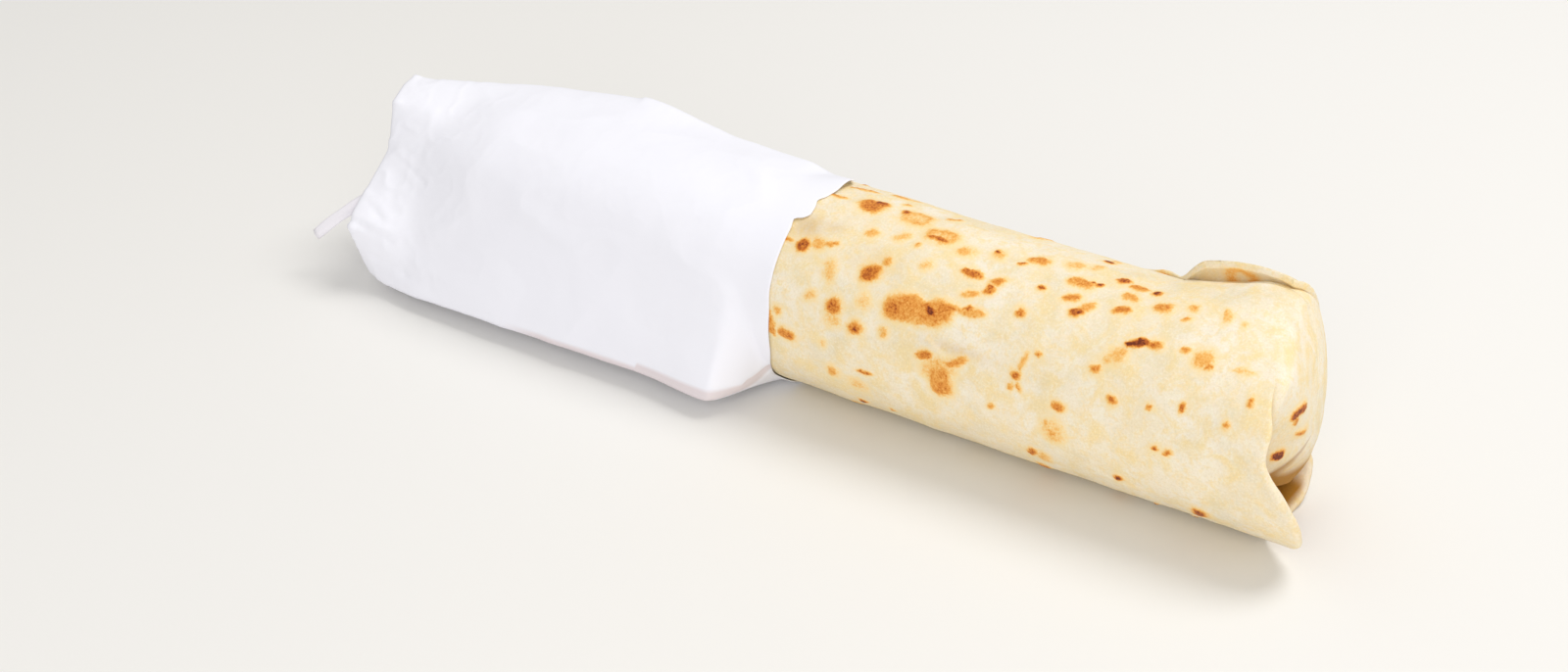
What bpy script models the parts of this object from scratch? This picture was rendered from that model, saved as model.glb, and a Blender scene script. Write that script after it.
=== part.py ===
"""Gyro wrap: a toasted flatbread roll on its side, half out of a white paper sleeve.

Metres, +Z up.  +X runs along the roll towards its bare end, -Y is the side that the
sleeve's fin points to, and the wrap rests on Z = 0.  Sections are written in polar form
about the roll's axis: 0 degrees points to +Y, 90 up, 180 to -Y and 270 down.
"""
import math

import bmesh
import bpy
from mathutils import Vector

# ---- roll ------------------------------------------------------------------
ROLL_RADIUS = 0.0267        # outside of the rolled bread
AXIS_HEIGHT = 0.0262        # less than the radius, so the roll sags onto a flat strip
SHEET = 0.0020              # thickness of one layer of flatbread
SPIRAL_STEP = 0.0012        # height of the free edge of the outer turn
BARE_START = -0.0140        # the bread is bare from here to its open end
TUCKED_START = -0.1370      # folded end, hidden in the sleeve
TUCKED_ROUND = 0.0080
AXIS = ((-0.150, 0.0242), (-0.112, AXIS_HEIGHT))
TAPER = ((-0.150, 0.0075), (-0.140, 0.0050), (-0.127, 0.0022), (-0.108, 0.0))   # off the radius
BED_LIFT = 0.0010           # the roll rides on the paper by this much inside the sleeve
UNEVEN = 0.0002             # hand-rolled unevenness: how much,
UNEVEN_WAVES = (61.0, 24.0, 1.3)    # how often along X, and where it starts
SAG = 0.0005                # the top sags this much ...
SAG_AT = 0.052              # ... here ...
SAG_SPREAD = 0.022          # ... and this far to each side
BED_STEP = 0.004            # length over which the bread comes down off the paper's edge
TUCKED_STEPS = (20.0, 45.0, 70.0)   # rings round the tucked end, in degrees of its round
END_BODY = 0.0950           # the open end's own shape starts here
END_OUTER = 0.1110          # and takes its radius from the roll here

# The outer turn's free edge: x, angle in degrees.  It lies behind the roll at the sleeve and
# climbs to the top at the open end.
SEAM = ((-0.150, -40.0), (-0.014, -12.0), (0.040, 15.0), (0.074, 50.0), (0.088, 66.0), (0.130, 68.0))

# Colours in linear light, and roughness.
BREAD_COLOUR = (0.83, 0.74, 0.55)
BREAD_ROUGHNESS = 0.75
PAPER_COLOUR = (0.88, 0.88, 0.92)
PAPER_ROUGHNESS = 0.60

# Open end, by angle in degrees round the axis.
RIM = ((124, 0.1188), (134, 0.1200), (150, 0.1207), (166, 0.1204), (171, 0.1212), (176, 0.1225),
       (183, 0.1250), (190, 0.1270), (199, 0.1288), (208, 0.1294), (219, 0.1288), (231, 0.1264),
       (241, 0.1215), (252, 0.1165), (275, 0.1162), (292, 0.1168), (306, 0.1162), (322, 0.1150))
FACE = ((0, 0.1140), (40, 0.1142), (75, 0.1160), (105, 0.1192), (128, 0.1206), (145, 0.1194),
        (162, 0.1150), (180, 0.1125), (215, 0.1110), (245, 0.1125), (275, 0.1150), (300, 0.1150),
        (325, 0.1130), (345, 0.1132))
FACE_MIDDLE = 0.1208        # how far the tucked face bulges
EDGE_ROUND = ((0, 0.0050), (50, 0.0060), (95, 0.0095), (114, 0.0062), (130, 0.0024), (150, 0.0024),
              (180, 0.0040), (320, 0.0040))
FOLD_ROUND = 0.0024         # round of the tucked flap's lower fold
RIM_OPENS = 124.0           # the rim stands free from here ...
RIM_CLOSES = 326.0          # ... to here
RIM_FADE = 30.0             # degrees over which it leaves the tucked face
RIM_SHUT = 12.0             # and over which it joins it again
SLOT = 0.0006               # gap between the free rim and the tucked face
SLOT_DEPTH = 0.0080
POCKET_TOP = 0.0088         # height of the flap's lower fold, at the middle
POCKET_SLOPE = 0.42         # how steeply that fold falls to +Y
POCKET_DEPTH = 0.0180
MERGED_STEPS = 6            # points from the rim's place to the bend where no rim stands free
POCKET_SHARP = 16           # how square the flap's lower corners are
POCKET_LEVEL = 0.05         # the fold faces down at least this much where it cuts the flap
POCKET_FADE = (0.0005, 0.0040)      # depth of the cut over which the pocket appears
RIM_LAST = 0.0008           # the rim's edge is eased over this length
RIM_SHARE = 0.30            # and by this share of the sheet's thickness
RIM_BODY = 0.0100           # the rim's own shape starts this far behind its edge
FACE_CLEAR = 0.0010         # the slot ends at least this far behind the face's round
BEND_STEPS = (0.33, 0.67, 1.0)      # points round the face's edge, as shares of its turn
FACE_STEPS = (0.66, 0.33)   # rings of the face, as shares of its radius

# Swelling of the roll behind the open end, and the outer turn's corner lifted clear of it.
SWELL = ((0.080, 0.0), (0.094, 0.0030), (0.104, 0.0052), (0.109, 0.0046), (0.116, 0.0012))
SWELL_ANGLE = 62.0
SWELL_SPREAD = 40.0
LIP_START = 0.0740          # the lifted corner, from here ...
LIP_END = 0.1140            # ... to here at its free edge ...
LIP_END_LOW = 0.1080        # ... and to here at its root
LIP_RISE = ((0.079, -0.0009), (0.0875, 0.0057), (0.100, 0.0077), (0.105, 0.0073), (0.1095, 0.0060),
            (0.1135, 0.0034), (0.116, 0.0010))
LIP_ROOT = 62.0             # degrees of the outer turn that lift
LIP_SINK = 0.0009           # how deep the lip's root lies in the roll
LIP_CURL = 1.4              # how late the lift starts from the root
LIP_CORNER = 0.6            # share of the root over which the lip's end slants back

# ---- sleeve ----------------------------------------------------------------
PAPER = 0.0004
MOUTH = ((0, -0.0175), (55, -0.0165), (74, -0.0105), (90, -0.0125), (104, -0.0142), (112, -0.0160),
         (130, -0.0148), (180, -0.0148), (214, -0.0165), (232, -0.0152), (250, -0.0152), (310, -0.0180))
# x, tube radius, then (y, z) of the four lines that the paper is drawn out to: fin, ridge,
# shoulder and hip.  A line inside the tube's radius does nothing.
SLEEVE = (
    (-0.0148, 0.0282, (-0.0180, 0.0140), (0.0080, 0.0500), (-0.0100, 0.0450), (-0.0250, 0.0195)),
    (-0.0175, 0.0283, (-0.0236, 0.0090), (0.0090, 0.0508), (-0.0100, 0.0450), (-0.0250, 0.0195)),
    (-0.0205, 0.0285, (-0.0310, 0.0065), (0.0100, 0.0520), (-0.0100, 0.0450), (-0.0250, 0.0195)),
    (-0.0262, 0.0286, (-0.0386, 0.0052), (0.0110, 0.0530), (-0.0100, 0.0450), (-0.0250, 0.0195)),
    (-0.0500, 0.0286, (-0.0366, 0.0050), (0.0120, 0.0533), (-0.0100, 0.0450), (-0.0250, 0.0195)),
    (-0.0620, 0.0286, (-0.0370, 0.0050), (0.0130, 0.0544), (-0.0100, 0.0450), (-0.0250, 0.0195)),
    (-0.0800, 0.0286, (-0.0374, 0.0050), (0.0140, 0.0567), (-0.0100, 0.0450), (-0.0250, 0.0195)),
    (-0.1100, 0.0280, (-0.0374, 0.0046), (0.0100, 0.0548), (-0.0100, 0.0455), (-0.0250, 0.0195)),
    (-0.1270, 0.0262, (-0.0372, 0.0042), (0.0050, 0.0540), (-0.0110, 0.0470), (-0.0270, 0.0195)),
    (-0.1400, 0.0237, (-0.0352, 0.0036), (0.0005, 0.0532), (-0.0125, 0.0486), (-0.0330, 0.0195)),
    (-0.1500, 0.0208, (-0.0322, 0.0044), (-0.0020, 0.0526), (-0.0130, 0.0492), (-0.0362, 0.0195)),
)
# Left rim of the sleeve, by angle.
SLEEVE_END = ((20, -0.1480), (95, -0.1510), (140, -0.1500), (188, -0.1516), (204, -0.1500), (216, -0.1476),
              (262, -0.1450), (320, -0.1460))
PLEATS = 9
PLEAT_DEPTH = 0.0016
END_DISH = 0.0050           # the gathered end's middle is drawn in by this much
END_STEP = 0.0012           # and its rim stands out by this much
END_RINGS = ((0.25, 1.0), (0.55, 0.75), (0.82, 0.25), (0.96, 0.0))  # share of radius, of dish
TAB_ROOT = (-0.1495, -0.0250, 0.0248)
TAB_TIP = (-0.1640, -0.0366, 0.0136)
TAB_WIDTH = 0.0042
TAB_THICKNESS = 0.0006
TAB_SAG = 0.0012
TAB_TAPER = 0.35            # share of its width that the tab loses
TAB_STEPS = 6

# ---- mesh density ----------------------------------------------------------
# Share of the columns, and the degrees below the seam that they have reached: they lie
# closest at the horn.
COLUMN_SPREAD = ((0.0, 0.0), (0.05, 8.0), (0.30, 120.0), (0.52, 192.0), (0.74, 255.0), (1.0, 357.5))
ROLL_COLUMNS = 56
ROLL_STATIONS = 20
SLEEVE_COLUMNS_OVER = 24
SLEEVE_COLUMNS_UNDER = 28
SLEEVE_RINGS = 18
SLEEVE_CROWDING = 0.5       # how much the rings gather at the two ends
LIP_COLUMNS = 12
LIP_ROWS = 9


# ---- helpers ---------------------------------------------------------------
def smooth_step(low, high, value):
    """0 below low, 1 above high, and an easy S between."""
    share = min(1.0, max(0.0, (value - low) / (high - low)))
    return share * share * (3.0 - 2.0 * share)


def curve_through(points, x):
    """A smooth curve through (x, value) points, level beyond the first and the last."""
    if x <= points[0][0]:
        return points[0][1]
    if x >= points[-1][0]:
        return points[-1][1]
    index = max(i for i in range(len(points) - 1) if points[i][0] <= x)
    (x0, y0), (x1, y1) = points[index], points[index + 1]
    slope = (y1 - y0) / (x1 - x0)

    def tangent(at):
        if at <= 0 or at >= len(points) - 1:
            return slope
        before = (points[at][1] - points[at - 1][1]) / (points[at][0] - points[at - 1][0])
        after = (points[at + 1][1] - points[at][1]) / (points[at + 1][0] - points[at][0])
        return 0.0 if before * after <= 0.0 else 2.0 * before * after / (before + after)

    share = (x - x0) / (x1 - x0)
    start, end = tangent(index), tangent(index + 1)
    span = x1 - x0
    return (y0 * (1 + 2 * share) * (1 - share) ** 2 + start * span * share * (1 - share) ** 2
            + y1 * share ** 2 * (3 - 2 * share) - end * span * share ** 2 * (1 - share))


def curve_round(points, angle):
    """The same, for (degrees, value) points that close on themselves."""
    first, last = points[0], points[-1]
    looped = ((last[0] - 360.0, last[1]),) + tuple(points) + ((first[0] + 360.0, first[1]),)
    return curve_through(looped, (angle - first[0]) % 360.0 + first[0])


def axis_height(x):
    """Height of the roll's axis, lower where the tucked end tapers."""
    return curve_through(AXIS, x)


def polar(radius, angle, height=AXIS_HEIGHT):
    """(y, z) of a polar point about the axis at the given height."""
    turn = math.radians(angle)
    return radius * math.cos(turn), height + radius * math.sin(turn)


def hull_radius(tube, reach, away):
    """Radius, `away` degrees from a point at `reach`, of a sheet drawn taut from it to a tube."""
    if reach <= tube:
        return tube
    contact = math.acos(tube / reach)
    return tube / math.cos(max(0.0, contact - math.radians(away)))


def degrees_apart(a, b):
    """Angle between two directions, 0 to 180."""
    return abs((a - b + 180.0) % 360.0 - 180.0)


# ---- roll ------------------------------------------------------------------
def seam_angle(x):
    """Direction of the outer turn's free edge."""
    return curve_through(SEAM, x)


def roll_radius(x, angle):
    """Outside of the roll: a spiral whose last turn ends at the seam, a little uneven."""
    turn = ((seam_angle(x) - angle) % 360.0) / 360.0
    spiral = SPIRAL_STEP * (0.5 - turn)
    short, long, start = UNEVEN_WAVES
    uneven = UNEVEN * math.sin(short * x + math.radians(2 * angle)) * math.cos(long * x + start)
    sag = SAG * math.exp(-((x - SAG_AT) / SAG_SPREAD) ** 2) * max(0.0, math.sin(math.radians(angle)))
    around = math.exp(-(degrees_apart(angle, SWELL_ANGLE) / SWELL_SPREAD) ** 2)
    swell = curve_through(SWELL, x) * around
    return ROLL_RADIUS + spiral + uneven - sag + swell - curve_through(TAPER, x)


def bed_height(x):
    """Lowest the bread goes: the ground where it is bare, the paper inside the sleeve."""
    return BED_LIFT * (1.0 - smooth_step(BARE_START, BARE_START + BED_STEP, x))


def roll_point(x, radius, angle):
    """A point of the roll's body, no lower than what it lies on."""
    y, z = polar(radius, angle, axis_height(x))
    return x, y, max(z, bed_height(x))


def rim_freedom(angle):
    """1 where the outer turn stands free of the tucked face, 0 where it folds over into it."""
    inside = (angle - RIM_OPENS) % 360.0
    span = (RIM_CLOSES - RIM_OPENS) % 360.0
    if inside > span:
        return 0.0
    return smooth_step(0.0, RIM_FADE, inside) * smooth_step(0.0, RIM_SHUT, span - inside)


def tucked_radius(angle, outer):
    """Outside of the tucked face within the free rim; below, it stops at the flap's fold."""
    inner = outer - SHEET - SLOT
    turn = math.radians(angle)
    down = -math.sin(turn) - POCKET_SLOPE * math.cos(turn)
    if down <= POCKET_LEVEL:
        return inner
    fold = (AXIS_HEIGHT - POCKET_TOP) / down
    return (inner ** -POCKET_SHARP + fold ** -POCKET_SHARP) ** (-1.0 / POCKET_SHARP)


def end_profile(angle):
    """The open end at one angle: (x, radius) from the body, over the rim, to the middle."""
    outer = roll_radius(END_OUTER, angle)
    face = curve_round(FACE, angle)
    free = rim_freedom(angle)
    rim = curve_round(RIM, angle)
    tucked = tucked_radius(angle, outer)
    pocket = smooth_step(*POCKET_FADE, outer - SHEET - SLOT - tucked)
    edge_round = curve_round(EDGE_ROUND, angle)
    bend = edge_round + (FOLD_ROUND - edge_round) * pocket
    depth = min(rim - SLOT_DEPTH, face - bend - FACE_CLEAR) - pocket * POCKET_DEPTH
    inside = outer - SHEET

    free_line = (
        (rim - RIM_BODY, outer), (rim - RIM_LAST, outer), (rim, outer - RIM_SHARE * SHEET),
        (rim, inside + RIM_SHARE * SHEET), (rim - RIM_LAST, inside), (depth, inside),
        (depth, min(tucked, inside - SLOT)), (face - bend, tucked),
    )
    over = face - edge_round
    last = min(rim, over) - RIM_LAST
    spaced = [last + (over - last) * k / MERGED_STEPS for k in range(MERGED_STEPS + 1)]
    closed_line = [(x, roll_radius(x, angle)) for x in [last + RIM_LAST - RIM_BODY] + spaced]
    line = [(c[0] + (f[0] - c[0]) * free, c[1] + (f[1] - c[1]) * free)
            for c, f in zip(closed_line, free_line)]
    base_x, base_radius = line[-1]
    bend = edge_round + (bend - edge_round) * free
    slope = math.atan2(2.0 * (FACE_MIDDLE - face), base_radius - bend)
    for share in BEND_STEPS:
        turn = (0.5 * math.pi - slope) * share
        line.append((base_x + bend * math.sin(turn), base_radius - bend * (1.0 - math.cos(turn))))
    edge_x, edge_radius = line[-1]
    for share in FACE_STEPS:
        bulge = (FACE_MIDDLE - edge_x) * (1.0 - share * share)
        line.append((edge_x + bulge, edge_radius * share))
    return line


def roll_rings():
    """Rings of the roll from its tucked end, along the body and round the open end's rim."""
    offsets = [curve_through(COLUMN_SPREAD, k / (ROLL_COLUMNS - 1)) for k in range(ROLL_COLUMNS)]
    rings = []
    for turn in TUCKED_STEPS:
        x = TUCKED_START + TUCKED_ROUND * (1.0 - math.cos(math.radians(turn)))
        narrow = TUCKED_ROUND * (1.0 - math.sin(math.radians(turn)))
        rings.append([roll_point(x, roll_radius(x, seam_angle(x) - off) - narrow, seam_angle(x) - off)
                      for off in offsets])
    first = TUCKED_START + TUCKED_ROUND
    stations = [first + (END_BODY - first) * k / ROLL_STATIONS for k in range(ROLL_STATIONS + 1)]
    stations += [BARE_START, BARE_START + BED_STEP]
    for x in sorted(stations):
        rings.append([roll_point(x, roll_radius(x, seam_angle(x) - off), seam_angle(x) - off)
                      for off in offsets])
    profiles = [(end_profile(seam_angle(END_BODY) - off), seam_angle(END_BODY) - off) for off in offsets]
    for step in range(len(profiles[0][0])):
        rings.append([roll_point(line[step][0], line[step][1], angle) for line, angle in profiles])
    return rings


def loft(name, rings, tips):
    """A closed body from rings of equal length, its two ends drawn together at the tips."""
    mesh = bpy.data.meshes.new(name)
    work = bmesh.new()
    rows = [[work.verts.new(point) for point in ring] for ring in rings]
    count = len(rows[0])
    for lower, upper in zip(rows, rows[1:]):
        for k in range(count):
            after = (k + 1) % count
            work.faces.new((lower[k], lower[after], upper[after], upper[k]))
    for row, tip in zip((rows[0], rows[-1]), tips):
        if tip is not None:
            centre = work.verts.new(tip)
            for k in range(count):
                work.faces.new((row[k], row[(k + 1) % count], centre))
    bmesh.ops.recalc_face_normals(work, faces=work.faces)
    work.to_mesh(mesh)
    work.free()
    return bpy.data.objects.new(name, mesh)


def sheet_mesh(name, rows):
    """An open surface through rows of points."""
    mesh = bpy.data.meshes.new(name)
    work = bmesh.new()
    grid = [[work.verts.new(point) for point in row] for row in rows]
    for lower, upper in zip(grid, grid[1:]):
        for k in range(len(lower) - 1):
            work.faces.new((lower[k], lower[k + 1], upper[k + 1], upper[k]))
    work.to_mesh(mesh)
    work.free()
    return bpy.data.objects.new(name, mesh)


def lip_rows():
    """The lifted corner of the outer turn: its outer surface, along x and down from the seam."""
    surface = []
    for i in range(LIP_COLUMNS + 1):
        row = []
        for j in range(LIP_ROWS + 1):
            below = LIP_ROOT * (1.0 - j / LIP_ROWS)
            end = LIP_END + (LIP_END_LOW - LIP_END) * smooth_step(0.0, LIP_CORNER * LIP_ROOT, below)
            x = LIP_START + (end - LIP_START) * i / LIP_COLUMNS
            angle = seam_angle(x) - below
            share = (1.0 - below / LIP_ROOT) ** LIP_CURL
            lifted = ROLL_RADIUS + curve_through(LIP_RISE, x)
            sunk = roll_radius(x, angle) - LIP_SINK
            y, z = polar(sunk + (lifted - sunk) * share, angle)
            row.append((x, y, z))
        surface.append(row)
    return surface


# ---- sleeve ----------------------------------------------------------------
def sleeve_column(pick):
    """One column of the sleeve's table as (x, value), from the gathered end on."""
    return [(row[0], pick(row)) for row in reversed(SLEEVE)]


SLEEVE_TUBE = sleeve_column(lambda row: row[1])
SLEEVE_LINES = [(sleeve_column(lambda row, k=k: row[k][0]), sleeve_column(lambda row, k=k: row[k][1]))
                for k in range(2, 6)]


def sleeve_lines(x):
    """(reach, degrees) of the fin, the ridge, the shoulder and the hip about the axis."""
    lines = []
    for across, up in SLEEVE_LINES:
        y, z = curve_through(across, x), curve_through(up, x) - axis_height(x)
        lines.append((math.hypot(y, z), math.degrees(math.atan2(z, y)) % 360.0))
    return lines


def chord_radius(first, last, angle):
    """Radius, between two (reach, degrees) lines, of a sheet drawn straight from one to the other."""
    (reach, start), (far_reach, end) = first, last
    if not start < angle < end:
        return 0.0
    over, short = math.radians(angle - start), math.radians(end - angle)
    return reach * far_reach * math.sin(over + short) / (reach * math.sin(over) + far_reach * math.sin(short))


def sleeve_radius(x, angle):
    """Paper drawn taut over the tube and its four lines, and straight from the hip to the fin."""
    tube = curve_through(SLEEVE_TUBE, x)
    lines = sleeve_lines(x)
    fin, hip = lines[0], lines[-1]
    taut = max(hull_radius(tube, reach, degrees_apart(angle, at)) for reach, at in lines)
    return max(taut, chord_radius(hip, fin, angle))


def sleeve_angles(x):
    """Column angles from the ridge round the front to the fin, and on under the roll."""
    (_, fin), (_, ridge), _, _ = sleeve_lines(x)
    over = [ridge + (fin - ridge) * k / SLEEVE_COLUMNS_OVER for k in range(SLEEVE_COLUMNS_OVER)]
    under = [fin + (ridge + 360.0 - fin) * k / SLEEVE_COLUMNS_UNDER for k in range(SLEEVE_COLUMNS_UNDER)]
    return over + under


def sleeve_point(x, radius, angle):
    """A point of the sleeve, no lower than the ground."""
    y, z = polar(radius, angle, axis_height(x))
    return x, y, max(z, 0.0)


def sleeve_rings():
    """Rings of the paper from the gathered end's middle to the mouth."""
    rings = []
    for share, dish in END_RINGS:
        ring = []
        for angle in sleeve_angles(SLEEVE[-1][0]):
            edge = curve_round(SLEEVE_END, angle)
            pleat = PLEAT_DEPTH * math.sin(math.radians(PLEATS * angle)) * math.sin(math.pi * share)
            x = edge - END_STEP * (1.0 - dish) + END_DISH * dish + pleat
            y, z = polar(sleeve_radius(edge, angle) * share, angle, axis_height(edge))
            ring.append((x, y, z))
        rings.append(ring)
    for k in range(SLEEVE_RINGS + 1):
        share = k / SLEEVE_RINGS
        share += SLEEVE_CROWDING * (smooth_step(0.0, 1.0, share) - share)
        ring = []
        start = SLEEVE[-1][0] + (SLEEVE[0][0] - SLEEVE[-1][0]) * share
        for angle in sleeve_angles(start):
            edge = curve_round(SLEEVE_END, angle)
            x = edge + (curve_round(MOUTH, angle) - edge) * share
            ring.append(sleeve_point(x, sleeve_radius(x, angle), angle))
        rings.append(ring)
    return rings


def tab_rows():
    """A narrow folded strip of paper that stands out of the gathered end."""
    root, tip = Vector(TAB_ROOT), Vector(TAB_TIP)
    across = (tip - root).cross(Vector((0.0, 1.0, 0.0))).normalized()
    rows = []
    for step in range(TAB_STEPS + 1):
        share = step / TAB_STEPS
        middle = root.lerp(tip, share)
        middle.z += TAB_SAG * math.sin(math.pi * share)
        half = 0.5 * TAB_WIDTH * (1.0 - TAB_TAPER * share)
        rows.append([(middle + across * half * side)[:] for side in (-1.0, 0.0, 1.0)])
    return rows


# ---- finish ----------------------------------------------------------------
def material(name, colour, roughness):
    """A Principled material: colour, roughness, no metal."""
    new = bpy.data.materials.new(name)
    new.use_nodes = True
    shader = new.node_tree.nodes["Principled BSDF"]
    shader.inputs["Base Color"].default_value = (*colour, 1.0)
    shader.inputs["Roughness"].default_value = roughness
    shader.inputs["Metallic"].default_value = 0.0
    new.diffuse_color = (*colour, 1.0)
    return new


def join_with(thing, other):
    """Union of a helper into a thing."""
    union = thing.modifiers.new(other.name, "BOOLEAN")
    union.operation = "UNION"
    union.object = other
    other.hide_render = True
    other.display_type = "WIRE"


def solidify(thing, thickness):
    """Thicken an open surface inwards."""
    shell = thing.modifiers.new("Thickness", "SOLIDIFY")
    shell.thickness = thickness
    shell.offset = -1.0
    shell.use_even_offset = True


def stand_over_origin(*groups):
    """Hang all on an empty that puts the middle of the wrap's box over the origin."""
    state = bpy.context.evaluated_depsgraph_get()
    corners = []
    for thing in groups[0].objects:
        corners += [Vector(corner) for corner in thing.evaluated_get(state).bound_box]
    middle = [0.5 * (min(c[i] for c in corners) + max(c[i] for c in corners)) for i in range(2)]
    stand = bpy.data.objects.new("gyro_wrap_origin", None)
    groups[0].objects.link(stand)
    for group in groups:
        for thing in group.objects:
            if thing is not stand:
                thing.parent = stand
    stand.location = (-middle[0], -middle[1], 0.0)


def main():
    for old in list(bpy.data.objects):
        bpy.data.objects.remove(old, do_unlink=True)
    wrap = bpy.data.collections.new("gyro_wrap")
    helpers = bpy.data.collections.new("joined_in")
    for group in (wrap, helpers):
        bpy.context.scene.collection.children.link(group)

    rings = roll_rings()
    roll = loft("flatbread", rings, ((TUCKED_START, 0.0, axis_height(TUCKED_START)),
                                     (FACE_MIDDLE, 0.0, AXIS_HEIGHT)))
    wrap.objects.link(roll)
    lip = sheet_mesh("outer_turn_corner", lip_rows())
    helpers.objects.link(lip)
    solidify(lip, SHEET)
    join_with(roll, lip)

    sleeve_ends = sleeve_rings()
    middle = [sum(point[i] for point in sleeve_ends[0]) / len(sleeve_ends[0]) for i in range(3)]
    sleeve = loft("paper_sleeve", sleeve_ends, (middle, None))
    wrap.objects.link(sleeve)
    solidify(sleeve, PAPER)
    tab = sheet_mesh("folded_tab", tab_rows())
    helpers.objects.link(tab)
    solidify(tab, TAB_THICKNESS)
    join_with(sleeve, tab)

    stand_over_origin(wrap, helpers)
    roll.data.materials.append(material("toasted_flatbread", BREAD_COLOUR, BREAD_ROUGHNESS))
    sleeve.data.materials.append(material("white_paper", PAPER_COLOUR, PAPER_ROUGHNESS))


main()
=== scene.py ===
"""The looks of the gyro wrap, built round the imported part.

Metres, in the frame's own axes: +X runs along the roll to its bare end, +Z is up, and the
paper's fin points to -Y.  Sections are polar about the roll's axis: 0 degrees points to +Y,
90 up, 180 to -Y and 270 down.  `off` is the angle in degrees below the seam, the free edge
of the outer turn of bread.
"""
import math

import bpy
import numpy as np
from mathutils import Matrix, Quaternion, Vector, noise


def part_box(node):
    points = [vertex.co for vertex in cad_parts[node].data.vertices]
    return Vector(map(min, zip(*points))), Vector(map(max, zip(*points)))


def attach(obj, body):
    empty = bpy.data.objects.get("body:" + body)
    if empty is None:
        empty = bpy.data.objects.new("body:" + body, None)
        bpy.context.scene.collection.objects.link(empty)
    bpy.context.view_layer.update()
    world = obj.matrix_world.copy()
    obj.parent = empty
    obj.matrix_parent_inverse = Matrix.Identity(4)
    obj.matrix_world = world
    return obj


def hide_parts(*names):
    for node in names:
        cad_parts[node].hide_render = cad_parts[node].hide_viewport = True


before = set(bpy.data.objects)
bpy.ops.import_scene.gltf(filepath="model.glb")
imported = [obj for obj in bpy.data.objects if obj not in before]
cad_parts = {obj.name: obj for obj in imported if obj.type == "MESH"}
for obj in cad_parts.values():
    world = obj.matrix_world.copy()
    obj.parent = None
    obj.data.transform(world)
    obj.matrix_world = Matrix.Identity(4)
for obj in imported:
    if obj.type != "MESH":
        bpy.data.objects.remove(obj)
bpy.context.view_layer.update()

MM = 0.001
BREAD_LOW, BREAD_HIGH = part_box("flatbread")
PAPER_LOW, PAPER_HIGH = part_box("paper_sleeve")

# ---- roll, in metres from the sleeve's mouth along the axis --------------------
ROLL_RADIUS = 0.0267
AXIS_HEIGHT = 0.0262
SHEET = 0.0020
SPIRAL_STEP = 0.0012
BARE_START = -0.0140
PAPER_ROOM = 0.00035        # how far the paper holds the bread off the ground
TUCKED_START = -0.1370
END_BODY = 0.0950
END_OUTER = 0.1110
AXIS = ((-0.150, 0.0242), (-0.112, AXIS_HEIGHT))
TAPER = ((-0.150, 0.0075), (-0.140, 0.0050), (-0.127, 0.0022), (-0.108, 0.0))
SEAM = ((-0.150, -40.0), (-0.014, -12.0), (0.040, 15.0), (0.074, 50.0), (0.088, 66.0), (0.130, 68.0))
RIM = ((124, 0.1188), (134, 0.1200), (150, 0.1207), (166, 0.1204), (171, 0.1212), (176, 0.1225), (183, 0.1250), (190, 0.1270),
       (199, 0.1288), (208, 0.1294), (219, 0.1288), (231, 0.1264), (241, 0.1215), (252, 0.1165),
       (275, 0.1162), (292, 0.1167), (306, 0.1157), (322, 0.1140))
FACE = ((0, 0.1130), (40, 0.1130), (75, 0.1152), (105, 0.1192), (128, 0.1206), (145, 0.1194),
        (162, 0.1150), (180, 0.1125), (215, 0.1110), (245, 0.1125), (275, 0.1150), (300, 0.1150),
        (325, 0.1122), (345, 0.1122))
FACE_MIDDLE = 0.1208
EDGE_ROUND = ((0, 0.0050), (50, 0.0060), (95, 0.0095), (114, 0.0062), (130, 0.0024), (150, 0.0024), (180, 0.0040),
              (320, 0.0040))
FOLD_ROUND = 0.0024
RIM_OPENS = 124.0
RIM_CLOSES = 326.0
RIM_FADE = 30.0
RIM_SHUT = 13.0
SLOT = 0.0007
SLOT_DEPTH = 0.0080
POCKET_TOP = 0.0088
POCKET_SLOPE = 0.42
POCKET_DEPTH = 0.0180
POCKET_SHARP = 8
SWELL = ((0.080, 0.0), (0.094, 0.0030), (0.104, 0.0052), (0.109, 0.0046), (0.116, 0.0012))
SWELL_ANGLE = 62.0
SWELL_SPREAD = 40.0
LIP_START = 0.0740
LIP_RISE = ((0.0765, -0.0012), (0.080, 0.0006), (0.0875, 0.0057), (0.100, 0.0077), (0.105, 0.0073),
            (0.1095, 0.0060))
LIP_ROOT = 62.0

# The model's own axes start under the middle of its box.
SHIFT_X = BREAD_LOW[0] - TUCKED_START
TUBE_BACK = 0.02857         # how far the sleeve's tube reaches to +Y of the roll's axis
SHIFT_Y = PAPER_HIGH[1] - TUBE_BACK


# ---- small helpers ---------------------------------------------------------------
def smooth_step(low, high, value):
    """0 below low, 1 above high, and an easy S between."""
    share = np.clip((np.asarray(value, float) - low) / (high - low), 0.0, 1.0)
    return share * share * (3.0 - 2.0 * share)


def curve(points, at):
    """A smooth curve through (x, value) points, level beyond the first and the last."""
    xs, ys = np.array(points, float).T
    slopes = np.diff(ys) / np.diff(xs)
    tangents = np.concatenate((slopes[:1], np.zeros(len(xs) - 2), slopes[-1:]))
    before, after = slopes[:-1], slopes[1:]
    same = before * after > 0.0
    tangents[1:-1][same] = 2.0 * before[same] * after[same] / (before[same] + after[same])
    at = np.clip(np.asarray(at, float), xs[0], xs[-1])
    i = np.clip(np.searchsorted(xs, at, side="right") - 1, 0, len(xs) - 2)
    span = xs[i + 1] - xs[i]
    t = (at - xs[i]) / span
    return (ys[i] * (1 + 2 * t) * (1 - t) ** 2 + tangents[i] * span * t * (1 - t) ** 2
            + ys[i + 1] * t * t * (3 - 2 * t) - tangents[i + 1] * span * t * t * (1 - t))


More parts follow.
